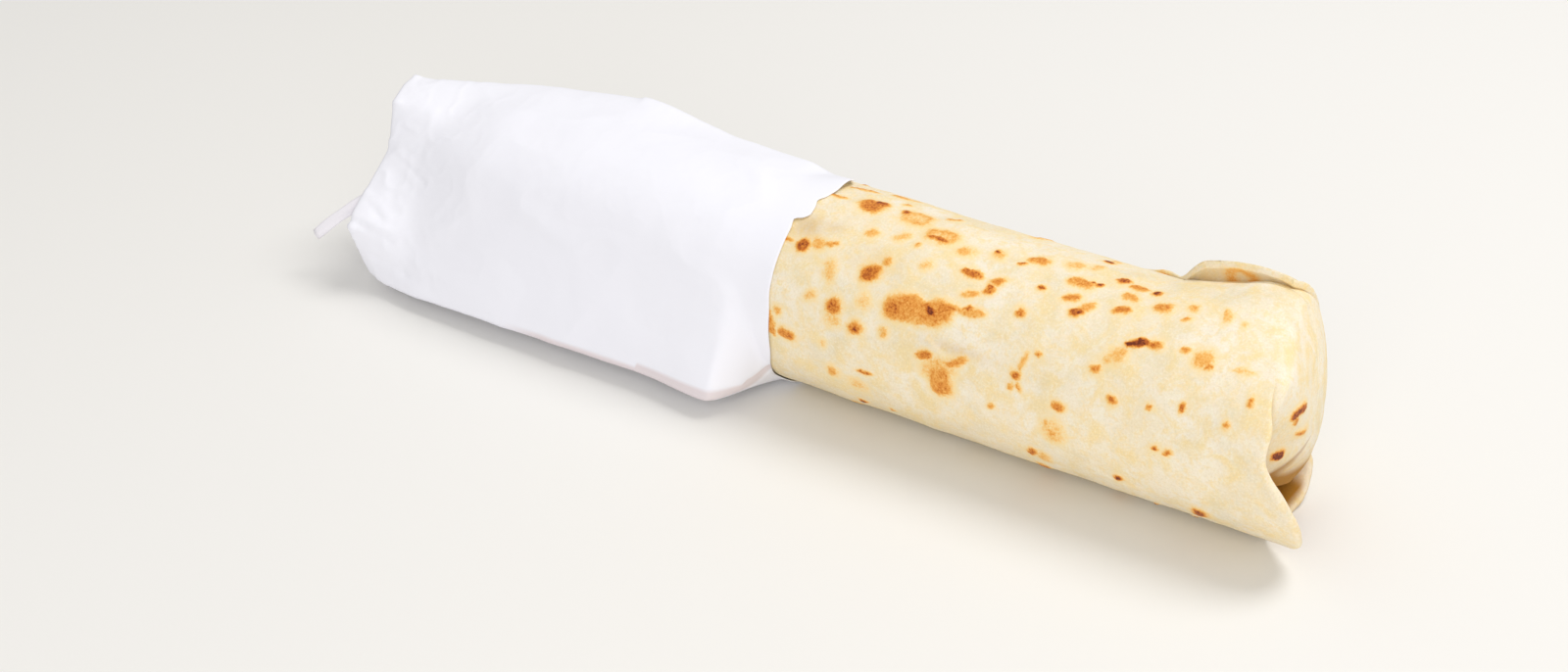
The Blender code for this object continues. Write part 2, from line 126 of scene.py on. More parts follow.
def curve_round(points, angle):
    """The same, for (degrees, value) points that close on themselves."""
    first, last = points[0], points[-1]
    looped = ((last[0] - 360.0, last[1]),) + tuple(points) + ((first[0] + 360.0, first[1]),)
    return curve(looped, (np.asarray(angle, float) - first[0]) % 360.0 + first[0])


def degrees_apart(a, b):
    """Angle between two directions, 0 to 180."""
    return np.abs((a - b + 180.0) % 360.0 - 180.0)


def fractal(points, size, octaves, seed):
    """Smooth noise of about -1 to 1 at each point, with lumps of the given size."""
    out = np.empty(len(points))
    for k, p in enumerate(points):
        q = Vector((p[0] / size + seed, p[1] / size - seed, p[2] / size + 0.5 * seed))
        out[k] = noise.fractal(q, 1.0, 2.0, octaves)
    return out


def grid_normals(grid, closed):
    """Unit normals of an (rows, columns, 3) grid of points."""
    if closed:
        across = np.roll(grid, -1, 1) - np.roll(grid, 1, 1)
    else:
        across = np.gradient(grid, axis=1)
    along = np.gradient(grid, axis=0)
    normal = np.cross(along, across)
    length = np.linalg.norm(normal, axis=2, keepdims=True)
    return normal / np.maximum(length, 1e-12)


def grid_faces(rows, columns, closed, start=0):
    """Quads of a grid whose points are numbered row by row."""
    faces = []
    for i in range(rows - 1):
        for k in range(columns if closed else columns - 1):
            a, b = start + i * columns + k, start + i * columns + (k + 1) % columns
            faces.append((a, a + columns, b + columns, b))
    return faces


def make_object(name, points, faces):
    """A smooth-shaded mesh object, moved to the frame's axes."""
    mesh = bpy.data.meshes.new(name)
    moved = np.asarray(points, float).reshape(-1, 3) + (SHIFT_X, SHIFT_Y, 0.0)
    mesh.from_pydata(moved.tolist(), [], faces)
    mesh.validate()
    mesh.shade_smooth()
    thing = bpy.data.objects.new(name, mesh)
    bpy.context.scene.collection.objects.link(thing)
    return thing


def store(thing, name, values):
    """Keep one number per vertex for the material."""
    made = thing.data.attributes.new(name, "FLOAT", "POINT")
    made.data.foreach_set("value", np.asarray(values, np.float32))


# ---- roll ------------------------------------------------------------------------
def seam_angle(x):
    """Direction of the outer turn's free edge."""
    return curve(SEAM, x)


def lip_presence(x):
    """1 where the outer turn's corner is lifted, 0 where it lies down."""
    return smooth_step(LIP_START, LIP_START + 0.008, x)


def roll_radius(x, off):
    """Outside of the roll: a spiral whose last turn ends at the seam, a little uneven."""
    angle = seam_angle(x) - off
    spiral = SPIRAL_STEP * (0.5 - off / 360.0) - SPIRAL_STEP * lip_presence(x) * np.exp(-off / 14.0)
    uneven = 0.0002 * np.sin(61.0 * x + np.radians(2 * angle)) * np.cos(24.0 * x + 1.3)
    sag = 0.0005 * np.exp(-((x - 0.052) / 0.022) ** 2) * np.maximum(0.0, np.sin(np.radians(angle)))
    swell = curve(SWELL, x) * np.exp(-(degrees_apart(angle, SWELL_ANGLE) / SWELL_SPREAD) ** 2)
    return ROLL_RADIUS + spiral + uneven - sag + swell - curve(TAPER, x)


# Columns of the roll's mesh: degrees below the seam, then a few that make the seam's edge.
# `level` is 1 on the outer turn and 0 on the turn beneath.
COLUMN_SPREAD = ((0.0, 0.0), (0.05, 8.0), (0.30, 120.0), (0.52, 192.0), (0.74, 255.0), (1.0, 357.0))
OUTSIDE = 252
CREVICE = ((358.6, 0.0), (360.4, 0.0), (362.0, -0.03), (362.6, 0.04), (361.2, 0.22), (359.9, 0.36),
           (359.3, 0.62), (359.4, 0.88))


def roll_columns():
    offs = curve(COLUMN_SPREAD, np.linspace(0.0, 1.0, OUTSIDE))
    levels = np.ones(OUTSIDE)
    crevice = np.array(CREVICE)
    return np.concatenate((offs, crevice[:, 0])), np.concatenate((levels, crevice[:, 1]))


def column_radius(x, offs, levels):
    """Radius of each column at x, the seam's own columns between the two turns."""
    low, high = roll_radius(x, np.full_like(offs, 357.5)), roll_radius(x, np.zeros_like(offs))
    own = roll_radius(x, np.minimum(offs, 357.5))
    return np.where(offs <= 357.5, own, low + levels * (high - low))


def axis_height(x):
    return curve(AXIS, x)


def ground_under(x):
    """Lowest the bread goes: the ground where it is bare, the paper inside the sleeve."""
    return PAPER_ROOM * (1.0 - smooth_step(BARE_START, BARE_START + 0.004, x))


def polar_point(x, radius, angle):
    turn = np.radians(angle)
    height = axis_height(x)
    return np.stack((x, radius * np.cos(turn), height + radius * np.sin(turn)), -1)


def rim_freedom(angle):
    """1 where the outer turn stands free of the tucked face, 0 where it folds over into it."""
    inside = (angle - RIM_OPENS) % 360.0
    span = (RIM_CLOSES - RIM_OPENS) % 360.0
    free = smooth_step(0.0, RIM_FADE, inside) * smooth_step(0.0, RIM_SHUT, span - inside)
    return np.where(inside > span, 0.0, free)


def tucked_radius(angle, outer):
    """Outside of the tucked face within the free rim; below, it stops at the flap's fold."""
    inner = outer - SHEET - SLOT
    turn = np.radians(angle)
    down = -np.sin(turn) - POCKET_SLOPE * np.cos(turn)
    fold = (AXIS_HEIGHT - POCKET_TOP) / np.maximum(down, 0.05)
    rounded = (inner ** -POCKET_SHARP + fold ** -POCKET_SHARP) ** (-1.0 / POCKET_SHARP)
    return np.where(down <= 0.05, inner, rounded)


def densify(keys, counts):
    """Points between key points: (keys, columns, 2) to (sum of counts + 1, columns, 2)."""
    rows = [keys[0]]
    for k, count in enumerate(counts):
        for step in range(1, count + 1):
            rows.append(keys[k] + (keys[k + 1] - keys[k]) * step / count)
    return np.array(rows)


PROFILE_COUNTS = (26, 16, 2, 3, 2, 18, 2, 14)
BEND_STEPS = 10
FACE_RINGS = 26


def end_profiles(angle, offs, levels):
    """The open end: (rows, columns, 2) of x and radius, from the body to the face's middle."""
    outer = column_radius(np.full_like(offs, END_OUTER), offs, levels)
    start = column_radius(np.full_like(offs, END_BODY), offs, levels)
    face, rim = curve_round(FACE, angle), curve_round(RIM, angle)
    free = rim_freedom(angle)
    tucked = tucked_radius(angle, outer)
    pocket = smooth_step(0.0005, 0.0040, outer - SHEET - SLOT - tucked)
    edge_round = curve_round(EDGE_ROUND, angle)
    bend = edge_round + (FOLD_ROUND - edge_round) * pocket
    depth = np.minimum(rim - SLOT_DEPTH, face - bend - 0.0010) - pocket * POCKET_DEPTH
    inside = outer - SHEET
    body = np.full_like(offs, END_BODY)
    keys = np.array([np.stack(pair, -1) for pair in (
        (body, start), (rim - 0.0100, outer), (rim - 0.0008, outer), (rim, outer - 0.30 * SHEET),
        (rim, outer - 0.70 * SHEET), (rim - 0.0008, inside), (depth, inside),
        (depth, np.minimum(tucked, inside - SLOT)), (face - bend, tucked))])
    free_line = densify(keys, PROFILE_COUNTS)
    over = face - edge_round
    rows = len(free_line)
    ends = (END_BODY + 0.0 * over, np.minimum(rim, over) - 0.0100, np.minimum(rim, over) - 0.0008, over)
    marks = (0, PROFILE_COUNTS[0], sum(PROFILE_COUNTS[:2]), rows - 1)
    closed_line = np.empty_like(free_line)
    for k in range(rows):
        part = min(2, int(np.searchsorted(marks, k, side="right")) - 1)
        share = (k - marks[part]) / (marks[part + 1] - marks[part])
        x = ends[part] + (ends[part + 1] - ends[part]) * share
        closed_line[k] = np.stack((x, column_radius(x, offs, levels)), -1)
    line = closed_line + (free_line - closed_line) * free[None, :, None]
    bend = edge_round + (bend - edge_round) * free
    rows = list(line)
    base = line[-1]
    slope = np.arctan2(2.0 * (FACE_MIDDLE - face), base[:, 1] - bend)
    for step in range(1, BEND_STEPS + 1):
        turn = (0.5 * math.pi - slope) * step / BEND_STEPS
        rows.append(np.stack((base[:, 0] + bend * np.sin(turn),
                              base[:, 1] - bend * (1.0 - np.cos(turn))), -1))
    edge = rows[-1]
    for step in range(1, FACE_RINGS):
        share = 1.0 - step / FACE_RINGS
        bulge = (FACE_MIDDLE - edge[:, 0]) * (1.0 - share * share)
        rows.append(np.stack((edge[:, 0] + bulge, edge[:, 1] * share), -1))
    return np.array(rows)


def roll_grid():
    """All rings of the roll, and the row where the open end's own shape starts."""
    offs, levels = roll_columns()
    rings = []
    for turn in (10.0, 25.0, 40.0, 55.0, 70.0):
        x = TUCKED_START + 0.0080 * (1.0 - math.cos(math.radians(turn)))
        narrow = 0.0080 * (1.0 - math.sin(math.radians(turn)))
        xs = np.full_like(offs, x)
        rings.append(polar_point(xs, column_radius(xs, offs, levels) - narrow, seam_angle(x) - offs))
    hidden = np.linspace(TUCKED_START + 0.0080, BARE_START - 0.008, 36)
    bare = np.linspace(BARE_START - 0.007, END_BODY - 0.0007, 165)
    for x in np.concatenate((hidden, bare)):
        xs = np.full_like(offs, x)
        ring = polar_point(xs, column_radius(xs, offs, levels), seam_angle(x) - offs)
        ring[:, 2] = np.maximum(ring[:, 2], ground_under(x))
        rings.append(ring)
    start = len(rings)
    angle = seam_angle(END_BODY) - offs
    for line in end_profiles(angle, offs, levels):
        ring = polar_point(line[:, 0], line[:, 1], angle)
        ring[:, 2] = np.maximum(ring[:, 2], 0.0)
        rings.append(ring)
    return np.array(rings), start


def soften(grid, first, last, passes, strength):
    """Ease the corners of a closed grid between two rows."""
    for _ in range(passes):
        middle = 0.25 * (np.roll(grid, 1, 1) + np.roll(grid, -1, 1))[first:last]
        middle = middle + 0.25 * (grid[first - 1:last - 1] + grid[first + 1:last + 1])
        grid[first:last] += strength * (middle - grid[first:last])
    return grid


# ---- toasting --------------------------------------------------------------------
# Toasted marks on the roll: place along it in millimetres, direction in degrees, length and
# width in millimetres, lean of the long side in degrees, and how dark, from 0 to 1.
MARKS = (
    (1, 93, 7, 5, -12, 0.66), (3, 88, 4, 2, 0, 0.75), (14, 92, 8, 6, 5, 0.44), (10, 89, 2, 2, 0, 0.72),
    (24, 101, 8, 5, 6, 0.50), (24, 104, 6, 1, 4, 0.70), (-9, 131, 4, 3, 16, 0.80), (-5, 128, 4, 3, 17, 0.42),
    (-1, 126, 3, 1, 7, 0.50), (-14, 131, 4, 1, 11, 0.50), (1, 140, 3, 5, 16, 0.30), (12, 135, 5, 4, 42, 0.72),
    (15, 127, 2, 2, 69, 0.52), (5, 158, 4, 4, 15, 0.68), (5, 165, 4, 3, 0, 0.30), (24, 147, 11, 6.5, 14, 0.54), (32, 144, 10, 5, 14, 0.56), (21, 149, 4, 5, 20, 0.66),
    (30, 150, 9, 3, 6, 0.48),
    (34, 141, 7, 3, 20, 0.60), (31, 144, 3, 2, 0, 0.90), (12, 165, 4, 3, 16, 0.60), (12, 166, 1, 1, 0, 0.80),
    (-11, 169, 2, 2, 16, 0.45), (-8, 182, 5, 3, -8, 0.62), (-13, 178, 2, 7, 17, 0.50), (7, 113, 3, 2, 19, 0.33),
    (15, 110, 4, 2, 33, 0.30), (20, 112, 1, 1, 0, 0.45), (-2, 156, 3, 2, 15, 0.26), (13, 150, 3, 3, 15, 0.28),
    (25, 122, 3, 2, 18, 0.25), (-9, 93, 6, 1, 14, 0.50), (-6, 76, 9, 1, 13, 0.50), (8, 80, 2, 1, 17, 0.52),
    (22, 82, 4, 1, 31, 0.50), (3, 180, 1, 1, 0, 0.36), (5, 197, 3, 3, 23, 0.45), (15, 190, 5, 1, 5, 0.62),
    (20, 163, 2, 2, 16, 0.36), (32, 168, 5, 2, 17, 0.56), (41, 166, 6, 2, 29, 0.50), (37, 180, 6, 7, 18, 0.56),
    (36, 173, 9, 5, 17, 0.32), (39, 130, 5, 2, 16, 0.40), (40, 137, 1, 1, 0, 0.80), (41, 139, 7, 2, 8, 0.40),
    (12, 202, 4, 3, 24, 0.30), (11, 220, 2, 2, -5, 0.80), (32, 106, 4, 3, 22, 0.40), (39, 99, 1, 1, 0, 0.88),
    (40, 101, 3, 3, 25, 0.38), (37, 118, 6, 2, -3, 0.62), (44, 118, 4, 2, 19, 0.50), (43, 124, 3, 2, 76, 0.65),
    (53, 131, 2, 2, 18, 0.62), (47, 102, 2, 1, 26, 0.78), (50, 96, 5, 3, 13, 0.60), (55, 114, 2, 1, 20, 0.72),
    (58, 90, 5, 3, 26, 0.34), (63, 103, 7, 3, 6, 0.55), (65, 100, 1, 1, 0, 0.95), (67, 101, 2, 1, 0, 0.88),
    (63, 115, 4, 2, 20, 0.56), (66, 122, 3, 2, 19, 0.70), (68, 117, 3, 2, 37, 0.46), (71, 91, 4, 2, 22, 0.66),
    (76, 103, 4, 2, -10, 0.46), (76, 94, 5, 2, -3, 0.50), (81, 95, 2, 2, 0, 0.95), (76, 113, 4, 2, 20, 0.60),
    (85, 105, 4, 3, -4, 0.56), (63, 86, 4, 2, 60, 0.24), (84, 129, 6, 2, 17, 0.98), (88, 127, 3, 2, 18, 0.62),
    (80, 138, 6, 3, 42, 0.34), (76, 147, 3, 2, 26, 0.56), (57, 163, 2, 2, 0, 0.66), (56, 170, 1, 2, 0, 0.50),
    (58, 169, 1, 2, 34, 0.50), (58, 155, 1, 5, -7, 0.36), (51, 184, 2, 1, 29, 0.46), (69, 172, 3, 2, 13, 0.60),
    (82, 160, 2, 2, 17, 0.66), (91, 157, 1, 1, 0, 0.62), (99, 153, 1, 2, 0, 0.63), (68, 187, 5, 6, 21, 0.29),
    (61, 209, 2, 3, -28, 0.66), (64, 211, 3, 4, -29, 0.36), (62, 226, 3, 3, 0, 0.70), (84, 207, 2, 2, 7, 0.90),
    (94, 177, 1, 1, 0, 0.75), (97, 177, 2, 1, 28, 0.52), (104, 217, 4, 5, -5, 0.80), (95, 126, 2, 1, 8, 0.56),
    (100, 127, 5, 4, 18, 0.43), (102, 130, 2, 1, 17, 0.62), (92, 109, 2, 1, 21, 0.50), (92, 101, 2, 2, 27, 0.34),
    (100, 101, 2, 3, 24, 0.34), (105, 103, 1, 1, 0, 0.32), (115, 107, 4, 2, -16, 0.36), (110, 127, 5, 1, 13, 0.24),
    (114, 140, 1, 2, 17, 0.52), (110, 154, 1, 1, 0, 0.62), (61, 149, 1, 1, 0, 0.60), (66, 183, 1, 1, 0, 0.55),
    (68, 188, 1, 1, 0, 0.55), (20, 218, 1, 1, 0, 0.60),
)
# Marks on the tucked end face: from one point to another in millimetres along, across and up
# from the roll's own axes, then half the width, and how dark.
FACE_MARKS = (
    ((120.6, -11.8, 37.3), (120.8, -6.0, 37.0), 1.15, 0.92), ((120.4, -10.6, 35.4), (120.4, -9.9, 35.0), 0.9, 0.74),
    ((120.5, -8.0, 30.8), (121.0, -4.8, 29.7), 0.65, 0.76), ((118.0, -12.9, 26.3), (118.4, -11.9, 25.9), 1.50, 1.0),
)
# Patches of painted shade on the bare roll, the darkest where the paper's corner lifts off the bread by the mouth,
# one along the raised crease at 28 to 46 mm: place along in millimetres, degrees, length, width, strength.
PAINTED_SHADE_PATCHES = ((-10, 120, 9, 7, 0.34), (-4, 116, 8, 4, 0.18), (13, 128, 14, 8, 0.10), (40, 160, 16, 3, 0.22))
# Raised creases: from (x mm, degrees) to (x mm, degrees), and height in millimetres.
CREASES = (((28, 160), (46, 165), 0.50), ((-16, 99), (3, 88), 0.38), ((-12, 84), (6, 74), 0.34),
           ((20, 80), (34, 82), 0.25), ((70, 205), (96, 214), 0.22), ((2, 118), (26, 112), 0.16))
SCATTER = 130               # small pale marks all round, mostly where the camera doesn't see
FRESH = (95.0, 215.0)       # the side whose marks are listed one by one


HALO_DARK = 0.24            # how dark the pale ring round a mark is
RING_SIZES = ((8, 5), (8, 6), (7, 7))   # marks of these sizes are paler inside than at their edge
RING_HOLLOW = 0.28


def mark_depth(along, across, mark, rough):
    """How dark one mark is at places given in millimetres from its middle."""
    length, width, lean, dark = mark
    small = min(length, width)
    dark = min(1.0, dark + (0.15 if small <= 2 else 0.09))
    turn = math.radians(lean)
    u = (along * math.cos(turn) + across * math.sin(turn)) / (0.5 * length + 0.2)
    v = (across * math.cos(turn) - along * math.sin(turn)) / (0.5 * width + 0.2)
    square = 3.2 if small >= 5 else 2.0
    reach = (np.abs(u) ** square + np.abs(v) ** square) ** (1.0 / square)
    away = np.hypot(along, across)
    beyond = away - away / np.maximum(reach, 1e-6) + rough * min(1.0, 0.3 + 0.2 * small)
    blur = min(1.1, max(0.45, 0.28 * small))
    core = 1.0 - smooth_step(-blur, blur, beyond)
    if (length, width) in RING_SIZES:
        core *= 1.0 - RING_HOLLOW * smooth_step(-0.9, -2.2, beyond)
    halo = 1.0 - smooth_step(0.0, min(2.6, 1.1 + 0.4 * small), beyond)
    return np.maximum(dark * core, min(0.75 * dark, HALO_DARK) * halo)


def toast_body(points, wobble):
    """Toasting of the roll's outside: listed marks, and small ones scattered elsewhere."""
    along = points[:, 0] / MM + 0.6 * wobble[0]
    height = axis_height(points[:, 0])
    angle = np.degrees(np.arctan2(points[:, 2] - height, points[:, 1])) % 360.0
    round_mm = ROLL_RADIUS / MM
    marks = list(MARKS)
    draw = np.random.default_rng(7)
    for _ in range(SCATTER):
        x, a = draw.uniform(-30.0, 118.0), draw.uniform(0.0, 360.0)
        size, stretch = draw.uniform(1.5, 5.0), draw.uniform(0.4, 0.9)
        lean, dark = draw.uniform(-40.0, 60.0), draw.uniform(0.22, 0.62)
        if draw.random() < 0.18:
            dark, size = 0.9, 0.5 * size
        if FRESH[0] - 20.0 < a < FRESH[1] + 10.0:
            continue
        marks.append((x, a, size, size * stretch, lean, dark))
    toast = np.zeros(len(points))
    for x, a, *shape in marks:
        turned = (angle - a + 180.0) % 360.0 - 180.0
        across = -np.radians(turned) * round_mm + 0.6 * wobble[1]
        near = (np.abs(along - x) < 15.0) & (np.abs(across) < 12.0)
        depth = mark_depth(along[near] - x, across[near], shape, wobble[2][near])
        toast[near] = np.maximum(toast[near], depth)
    return toast


def toast_face(points, wobble):
    """Toasting of the tucked end face."""
    warped = points / MM + 0.5 * np.stack((wobble[2], wobble[0], wobble[1]), -1)
    toast = np.zeros(len(points))
    for begin, end, half, dark in FACE_MARKS:
        run = np.subtract(end, begin)
        share = np.clip((warped - begin) @ run / (run @ run), 0.0, 1.0)
        beyond = np.linalg.norm(warped - begin - share[:, None] * run, axis=1) - half
        core = 1.0 - smooth_step(-0.5, 0.6, beyond)
        halo = 1.0 - smooth_step(0.0, 1.8, beyond)
        toast = np.maximum(toast, np.maximum(dark * core, HALO_DARK * halo))
    return toast


def painted_shade_patches(points, patches):
    """Soft patches of painted shade: (x mm, degrees, length, width, strength) on the roll's outside."""
    along = points[:, 0] / MM
    angle = np.degrees(np.arctan2(points[:, 2] - axis_height(points[:, 0]), points[:, 1])) % 360.0
    painted_shade = np.zeros(len(points))
    for x, a, length, width, strength in patches:
        across = ((angle - a + 180.0) % 360.0 - 180.0) * math.radians(ROLL_RADIUS / MM)
        reach = ((along - x) / (0.5 * length)) ** 2 + (across / (0.5 * width)) ** 2
        painted_shade = np.maximum(painted_shade, strength * np.exp(-reach))
    return painted_shade


# ---- materials -------------------------------------------------------------------
class Tree:
    """A short way to build a material's nodes."""

    def __init__(self, name):
        self.material = bpy.data.materials.new(name)
        self.material.use_nodes = True
        self.nodes = self.material.node_tree.nodes
        self.links = self.material.node_tree.links
        self.shader = self.nodes["Principled BSDF"]

    def add(self, kind, inputs=(), **settings):
        """One node: settings are its properties, inputs its sockets' values or links."""
        node = self.nodes.new(kind)
        for key, value in settings.items():
            setattr(node, key, value)
        for key, value in dict(inputs).items():
            self.put(node.inputs[key], value)
        return node

    def put(self, socket, value):
        """Set a socket, or link another node's output to it."""
        if isinstance(value, bpy.types.NodeSocket):
            self.links.new(value, socket)
        else:
            socket.default_value = value

    def position(self):
        return self.add("ShaderNodeTexCoord").outputs["Object"]

    def noise(self, scale, detail=3.0, roughness=0.5, distortion=0.0):
        return self.add("ShaderNodeTexNoise", {
            "Vector": self.position(), "Scale": scale, "Detail": detail, "Roughness": roughness,
            "Distortion": distortion}).outputs["Fac"]

    def ramp(self, value, stops, interpolation="LINEAR"):
        """Colour ramp from (place, colour) stops."""
        node = self.add("ShaderNodeValToRGB", {"Fac": value})
        node.color_ramp.interpolation = interpolation
        elements = node.color_ramp.elements
        while len(elements) < len(stops):
            elements.new(0.5)
        for element, (place, colour) in zip(elements, stops):
            element.position = place
            element.color = (*colour, 1.0)
        return node.outputs["Color"]

    def math(self, operation, a, b=0.0, c=0.0):
        node = self.add("ShaderNodeMath", operation=operation)
        for socket, value in zip(node.inputs, (a, b, c)):
            self.put(socket, value)
        return node.outputs[0]

    def span(self, value, low, high, to_low=0.0, to_high=1.0):
        """Map a range to another, held at its ends."""
        return self.add("ShaderNodeMapRange", {
            0: value, 1: low, 2: high, 3: to_low, 4: to_high}, clamp=True).outputs[0]

    def mix(self, factor, a, b, blend="MIX"):
        node = self.add("ShaderNodeMix", data_type="RGBA", blend_type=blend)
        for socket, value in zip((node.inputs[0], node.inputs[6], node.inputs[7]), (factor, a, b)):
            self.put(socket, value if not isinstance(value, tuple) else (*value, 1.0))
        return node.outputs[2]

    def attribute(self, name):
        return self.add("ShaderNodeAttribute", attribute_name=name).outputs["Fac"]

    def bump(self, height, strength, distance, normal=None):
        inputs = {"Height": height, "Strength": strength, "Distance": distance}
        if normal is not None:
            inputs["Normal"] = normal
        return self.add("ShaderNodeBump", inputs).outputs["Normal"]


# Colours are linear light.
DOUGH = (0.880, 0.755, 0.530)
DOUGH_PALE = (0.915, 0.830, 0.675)
DOUGH_YELLOW = (0.910, 0.710, 0.350)
DOUGH_GREY = (0.740, 0.660, 0.475)
# Painted shade: the brown laid where light falls short, in the pocket at the open end, on the flap's lower part, in
# the crevice under the lifted corner and where the paper shades the bread.
PAINTED_SHADE = (0.430, 0.190, 0.012)
TOAST = ((0.00, (0.920, 0.760, 0.490)), (0.22, (0.930, 0.720, 0.380)), (0.36, (0.920, 0.600, 0.240)),
         (0.47, (0.900, 0.500, 0.140)), (0.58, (0.840, 0.395, 0.085)), (0.70, (0.740, 0.275, 0.040)),
         (0.82, (0.560, 0.155, 0.018)), (0.93, (0.330, 0.068, 0.014)), (1.00, (0.160, 0.030, 0.009)))


def bread_material():
    tree = Tree("toasted_flatbread_looks")
    broad = tree.noise(45.0, 3.0, 0.55, 0.4)
    cloud = tree.noise(150.0, 4.0, 0.6, 0.6)
    fleck = tree.noise(420.0, 4.0, 0.65, 0.3)
    grain = tree.noise(1700.0, 3.0, 0.65)
    speck = tree.noise(2600.0, 2.0, 0.5)
    dough = tree.mix(tree.span(broad, 0.36, 0.64), DOUGH_PALE, DOUGH)
    dough = tree.mix(tree.math("MULTIPLY", tree.span(cloud, 0.46, 0.64), 0.85), dough, DOUGH_YELLOW)
    dough = tree.mix(tree.math("MULTIPLY", tree.span(fleck, 0.50, 0.66), 0.70), dough, DOUGH_YELLOW)
    greenish = tree.math("MULTIPLY", tree.span(tree.noise(75.0, 3.0, 0.55, 0.5), 0.50, 0.72), 0.45)
    dough = tree.mix(greenish, dough, DOUGH_GREY)
    dough = tree.mix(tree.math("MULTIPLY", tree.span(grain, 0.52, 0.68), 0.42), dough, DOUGH_GREY)
    dough = tree.mix(tree.math("MULTIPLY", tree.span(grain, 0.48, 0.34), 0.42), dough, (0.950, 0.890, 0.770))
    mark = tree.attribute("toast")
    rough_edge = tree.math("MULTIPLY", tree.math("SUBTRACT", fleck, 0.5), 0.45)
    fine_edge = tree.math("MULTIPLY", tree.math("SUBTRACT", grain, 0.5), 0.75)
    wander = tree.math("MULTIPLY", tree.math("ADD", rough_edge, fine_edge), tree.span(mark, 0.05, 0.40))
    toast = tree.math("ADD", mark, wander)
    colour = tree.mix(tree.span(toast, 0.0, 0.24), dough, tree.ramp(toast, TOAST))
    # Painted shade laid over the dough and toast colour.
    colour = tree.mix(tree.attribute("painted_shade"), colour, PAINTED_SHADE)
    tree.put(tree.shader.inputs["Base Color"], colour)
    tree.put(tree.shader.inputs["Roughness"], tree.span(toast, 0.1, 0.8, 0.78, 0.55))
    tree.shader.inputs["Specular IOR Level"].default_value = 0.25
    tree.shader.inputs["Subsurface Weight"].default_value = 0.10
    tree.shader.inputs["Subsurface Radius"].default_value = (0.0040, 0.0026, 0.0014)
    tree.shader.inputs["Subsurface Scale"].default_value = 0.4
    normal = tree.bump(tree.math("ADD", tree.math("MULTIPLY", grain, 0.6), speck), 0.30, 0.00020)
    normal = tree.bump(cloud, 0.25, 0.0010, normal)
    tree.put(tree.shader.inputs["Normal"], normal)
    return tree.material


def paper_material():
    tree = Tree("white_paper_looks")
    cloudy = tree.noise(60.0, 3.0, 0.55)
    fibre = tree.noise(1500.0, 3.0, 0.6)
    colour = tree.mix(cloudy, (0.890, 0.893, 0.965), (0.915, 0.917, 0.985))
    colour = tree.mix(tree.math("MULTIPLY", tree.attribute("thin"), 0.8), colour, (0.74, 0.65, 0.66))
    tree.put(tree.shader.inputs["Base Color"], colour)
    tree.shader.inputs["Roughness"].default_value = 0.62
    tree.shader.inputs["Specular IOR Level"].default_value = 0.3
    normal = tree.bump(fibre, 0.12, 0.0001)
    normal = tree.bump(cloudy, 0.10, 0.0010, normal)
    tree.put(tree.shader.inputs["Normal"], normal)
    return tree.material


# ---- bread -----------------------------------------------------------------------
def bread_relief(points, toast):
    """Height of the bread's own unevenness: lumps, shallow dimples, blisters and creases."""
    lumps = fractal(points, 0.022, 2, 3.1)
    dimples = fractal(points, 0.0060, 3, 8.7)
    height = 0.00038 * lumps + 0.00016 * dimples + 0.00030 * smooth_step(0.1, 0.7, toast)
    bare = smooth_step(-0.0180, -0.0100, points[:, 0])
    return height * (0.15 + 0.85 * bare) + crease_height(points)


def crease_height(points):
    """Small folds of the bread's skin: steep on their upper side, easy on their lower."""
    along = points[:, 0] / MM
    angle = np.degrees(np.arctan2(points[:, 2] - axis_height(points[:, 0]), points[:, 1])) % 360.0
    round_mm = ROLL_RADIUS / MM
    height = np.zeros(len(points))
    for (x0, a0), (x1, a1), rise in CREASES:
        run = np.array((x1 - x0, math.radians(a1 - a0) * round_mm))
        size = np.linalg.norm(run)
        turned = np.radians((angle - a0 + 180.0) % 360.0 - 180.0) * round_mm
        share = ((along - x0) * run[0] + turned * run[1]) / size ** 2
        below = (turned * run[0] - (along - x0) * run[1]) / size + 1.1 * np.sin(9.0 * share)
        ends = smooth_step(0.0, 0.3, share) * smooth_step(0.0, 0.3, 1.0 - share)
        side = np.where(below < 0.0, np.exp(-(below / 0.6) ** 2), np.exp(-(below / 3.5) ** 2))
        height = np.maximum(height, rise * MM * ends * side)
    return height


def painted_pocket_shade(angle, row, x, radius):
    """Painted shade for one row of the open end: deep in the pocket behind the free rim and on the flap's lower
    part, with the lower rim's cut edge browner.
    """
    rim = curve_round(RIM, angle)
    low = smooth_step(200.0, 225.0, angle) * smooth_step(340.0, 318.0, angle)
    deep = np.clip((rim - x) / 0.0150, 0.0, 1.0)
    if row < RIM_ROW:
        return 0.30 * low * smooth_step(0.0030, 0.0, rim - x) * smooth_step(235.0, 262.0, angle)
    if row < FLAP_ROW:
        back = smooth_step(294.0, 304.0, angle)
        reach = (1.0 - back) * smooth_step(0.01, 0.13, deep) + back * smooth_step(0.08, 0.45, deep)
        return (0.10 + 0.88 * reach) * (0.25 + 0.75 * low) * rim_freedom(angle)
    # Painted shade on the flap's lower part, darker towards its fold.
    down = -radius * np.sin(np.radians(angle)) / MM
    painted_flap_shade = 0.16 * smooth_step(2.0, 8.0, down) + 0.80 * smooth_step(8.0, 13.0, down)
    return np.minimum(0.95, low * (0.90 * deep + painted_flap_shade) * rim_freedom(angle))


RIM_ROW = sum(PROFILE_COUNTS[:4])
FLAP_ROW = sum(PROFILE_COUNTS[:7])


